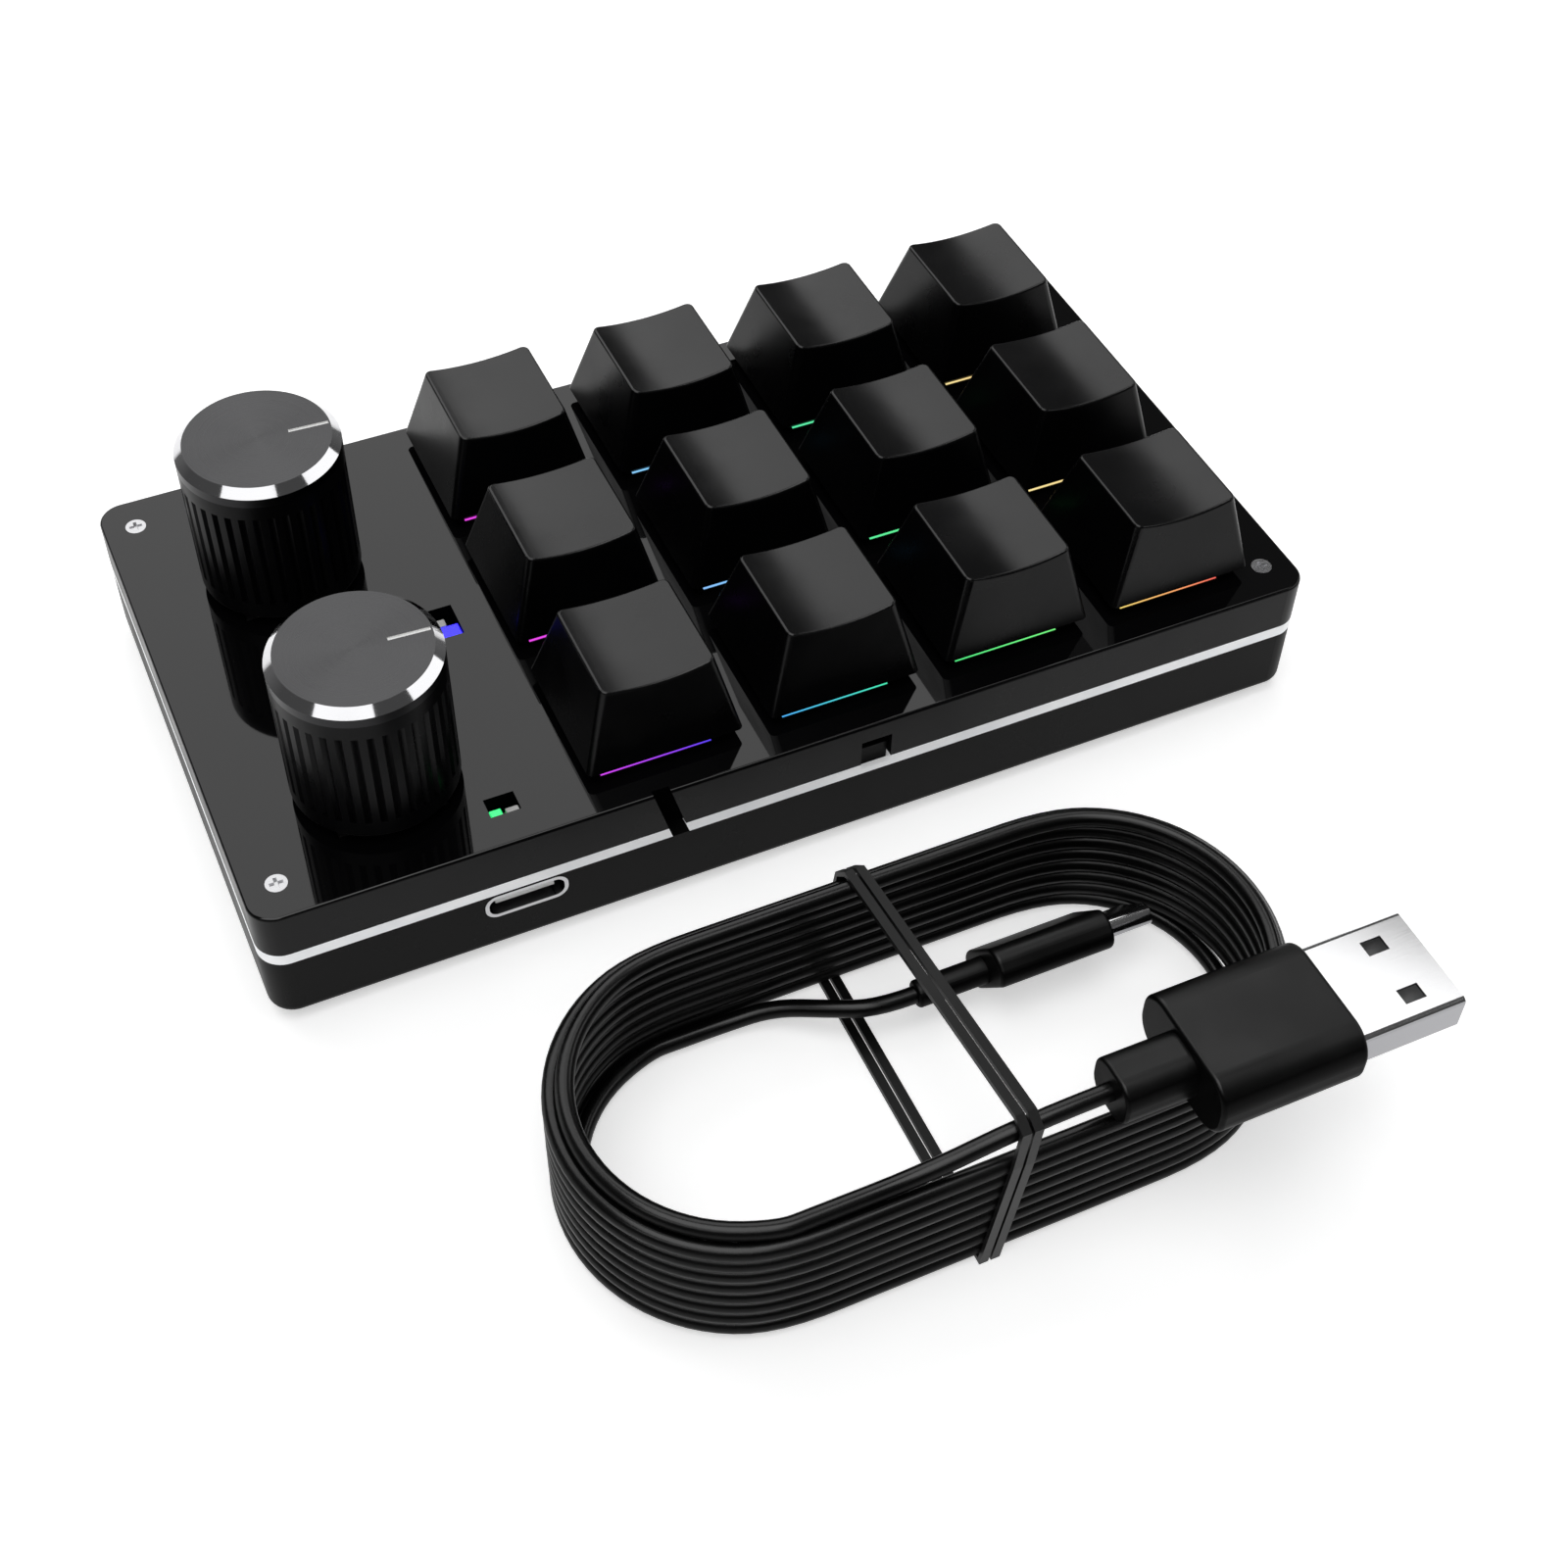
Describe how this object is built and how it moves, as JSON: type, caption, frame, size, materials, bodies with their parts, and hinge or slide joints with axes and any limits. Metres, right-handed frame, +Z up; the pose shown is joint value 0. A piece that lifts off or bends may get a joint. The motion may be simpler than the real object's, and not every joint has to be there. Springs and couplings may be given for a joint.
{
  "type": "macro keypad with knobs",
  "caption": "Low desk keypad with square keys that press, metal-topped knobs that turn and press, a light band round the case, and its USB lead tied in a hank.",
  "frame": {"origin": "centre of the keypad's footprint, on the surface that its feet stand on", "axes": "+X along the keypad's long side to the right, from the knobs to the keys; +Y to the back; +Z up"},
  "size_m": [0.1266, 0.1296, 0.0375],
  "materials": {
    "cover_plastic": "mirror-gloss moulding",
    "case_plastic": "fine matt moulding",
    "light_guide_plastic": "milky translucent moulding, satin",
    "screw_steel": "bright nickel plated",
    "foot_rubber": "matt moulding",
    "board_laminate": "solder mask, satin",
    "chip_plastic": "moulded",
    "led_plastic": "clear encapsulant over a white body",
    "port_steel": "nickel plated",
    "switch_plastic": "satin moulding",
    "stem_plastic": "satin moulding",
    "spring_steel": "drawn wire and stamped sheet",
    "encoder_metal": "die-cast, plain",
    "shaft_metal": "turned",
    "keycap_plastic": "satin moulding",
    "knob_plastic": "satin moulding",
    "knob_aluminium": "spun, dark anodised, diamond-cut bevel",
    "cord_jacket": "satin extrusion",
    "tie_plastic": "flat extrusion",
    "plug_plastic": "satin moulding",
    "plug_steel": "nickel plated"
  },
  "bodies": {
    "keypad": {"top_cover": "cover_plastic", "bottom_case": "case_plastic", "light_guide": "light_guide_plastic", "corner_screws": "screw_steel", "rubber_feet": "foot_rubber", "circuit_board": "board_laminate", "usb_board": "board_laminate", "board_header": "case_plastic", "controller_chip": "chip_plastic", "key_leds": "led_plastic", "indicator_leds": "led_plastic", "usb_socket_shell": "port_steel", "usb_socket_tongue": "chip_plastic", "switch_bases": "switch_plastic", "switch_tops": "switch_plastic", "switch_springs": "spring_steel", "encoder_bases": "encoder_metal", "encoder_domes": "spring_steel", "lead_hank": "cord_jacket", "lead_to_plug": "cord_jacket", "lead_to_usb_a": "cord_jacket", "cable_tie": "tie_plastic", "usb_a_overmould": "plug_plastic", "usb_a_shell": "plug_steel", "usb_a_insert": "chip_plastic", "plug_overmould": "plug_plastic", "plug_shell": "plug_steel"},
    "key_row1_col1": {"keycap_row1_col1": "keycap_plastic", "switch_stem_row1_col1": "stem_plastic"},
    "key_row1_col2": {"keycap_row1_col2": "keycap_plastic", "switch_stem_row1_col2": "stem_plastic"},
    "key_row1_col3": {"keycap_row1_col3": "keycap_plastic", "switch_stem_row1_col3": "stem_plastic"},
    "key_row1_col4": {"keycap_row1_col4": "keycap_plastic", "switch_stem_row1_col4": "stem_plastic"},
    "key_row2_col1": {"keycap_row2_col1": "keycap_plastic", "switch_stem_row2_col1": "stem_plastic"},
    "key_row2_col2": {"keycap_row2_col2": "keycap_plastic", "switch_stem_row2_col2": "stem_plastic"},
    "key_row2_col3": {"keycap_row2_col3": "keycap_plastic", "switch_stem_row2_col3": "stem_plastic"},
    "key_row2_col4": {"keycap_row2_col4": "keycap_plastic", "switch_stem_row2_col4": "stem_plastic"},
    "key_row3_col1": {"keycap_row3_col1": "keycap_plastic", "switch_stem_row3_col1": "stem_plastic"},
    "key_row3_col2": {"keycap_row3_col2": "keycap_plastic", "switch_stem_row3_col2": "stem_plastic"},
    "key_row3_col3": {"keycap_row3_col3": "keycap_plastic", "switch_stem_row3_col3": "stem_plastic"},
    "key_row3_col4": {"keycap_row3_col4": "keycap_plastic", "switch_stem_row3_col4": "stem_plastic"},
    "front_encoder_press": {"front_encoder_plunger": "stem_plastic"},
    "front_knob": {"front_encoder_shaft": "shaft_metal", "front_knob_skirt": "knob_plastic", "front_knob_disc": "knob_aluminium"},
    "back_encoder_press": {"back_encoder_plunger": "stem_plastic"},
    "back_knob": {"back_encoder_shaft": "shaft_metal", "back_knob_skirt": "knob_plastic", "back_knob_disc": "knob_aluminium"}
  },
  "joints": [
    {"name": "key_row1_col1_press", "type": "slide", "parent": "keypad", "child": "key_row1_col1", "axis": [0, 0, -1], "range_m": [0, 0.0013], "stiffness_N_per_m": 150, "springref_m": -0.002, "deforming": ["switch_springs"]},
    {"name": "key_row1_col2_press", "type": "slide", "parent": "keypad", "child": "key_row1_col2", "axis": [0, 0, -1], "range_m": [0, 0.0013], "stiffness_N_per_m": 150, "springref_m": -0.002},
    {"name": "key_row1_col3_press", "type": "slide", "parent": "keypad", "child": "key_row1_col3", "axis": [0, 0, -1], "range_m": [0, 0.0013], "stiffness_N_per_m": 150, "springref_m": -0.002},
    {"name": "key_row1_col4_press", "type": "slide", "parent": "keypad", "child": "key_row1_col4", "axis": [0, 0, -1], "range_m": [0, 0.0013], "stiffness_N_per_m": 150, "springref_m": -0.002},
    {"name": "key_row2_col1_press", "type": "slide", "parent": "keypad", "child": "key_row2_col1", "axis": [0, 0, -1], "range_m": [0, 0.0013], "stiffness_N_per_m": 150, "springref_m": -0.002},
    {"name": "key_row2_col2_press", "type": "slide", "parent": "keypad", "child": "key_row2_col2", "axis": [0, 0, -1], "range_m": [0, 0.0013], "stiffness_N_per_m": 150, "springref_m": -0.002},
    {"name": "key_row2_col3_press", "type": "slide", "parent": "keypad", "child": "key_row2_col3", "axis": [0, 0, -1], "range_m": [0, 0.0013], "stiffness_N_per_m": 150, "springref_m": -0.002},
    {"name": "key_row2_col4_press", "type": "slide", "parent": "keypad", "child": "key_row2_col4", "axis": [0, 0, -1], "range_m": [0, 0.0013], "stiffness_N_per_m": 150, "springref_m": -0.002},
    {"name": "key_row3_col1_press", "type": "slide", "parent": "keypad", "child": "key_row3_col1", "axis": [0, 0, -1], "range_m": [0, 0.0013], "stiffness_N_per_m": 150, "springref_m": -0.002},
    {"name": "key_row3_col2_press", "type": "slide", "parent": "keypad", "child": "key_row3_col2", "axis": [0, 0, -1], "range_m": [0, 0.0013], "stiffness_N_per_m": 150, "springref_m": -0.002},
    {"name": "key_row3_col3_press", "type": "slide", "parent": "keypad", "child": "key_row3_col3", "axis": [0, 0, -1], "range_m": [0, 0.0013], "stiffness_N_per_m": 150, "springref_m": -0.002},
    {"name": "key_row3_col4_press", "type": "slide", "parent": "keypad", "child": "key_row3_col4", "axis": [0, 0, -1], "range_m": [0, 0.0013], "stiffness_N_per_m": 150, "springref_m": -0.002},
    {"name": "front_knob_press", "type": "slide", "parent": "keypad", "child": "front_encoder_press", "axis": [0, 0, -1], "range_m": [0, 0.0005], "stiffness_N_per_m": 800, "springref_m": -0.004, "deforming": ["encoder_domes"]},
    {"name": "front_knob_turn", "type": "hinge", "parent": "front_encoder_press", "child": "front_knob", "pos_m": [-0.0457, -0.02, 0.02], "axis": [0, 0, 1], "continuous": true},
    {"name": "back_knob_press", "type": "slide", "parent": "keypad", "child": "back_encoder_press", "axis": [0, 0, -1], "range_m": [0, 0.0005], "stiffness_N_per_m": 800, "springref_m": -0.004},
    {"name": "back_knob_turn", "type": "hinge", "parent": "back_encoder_press", "child": "back_knob", "pos_m": [-0.0457, 0.01515, 0.02], "axis": [0, 0, 1], "continuous": true}
  ]
}
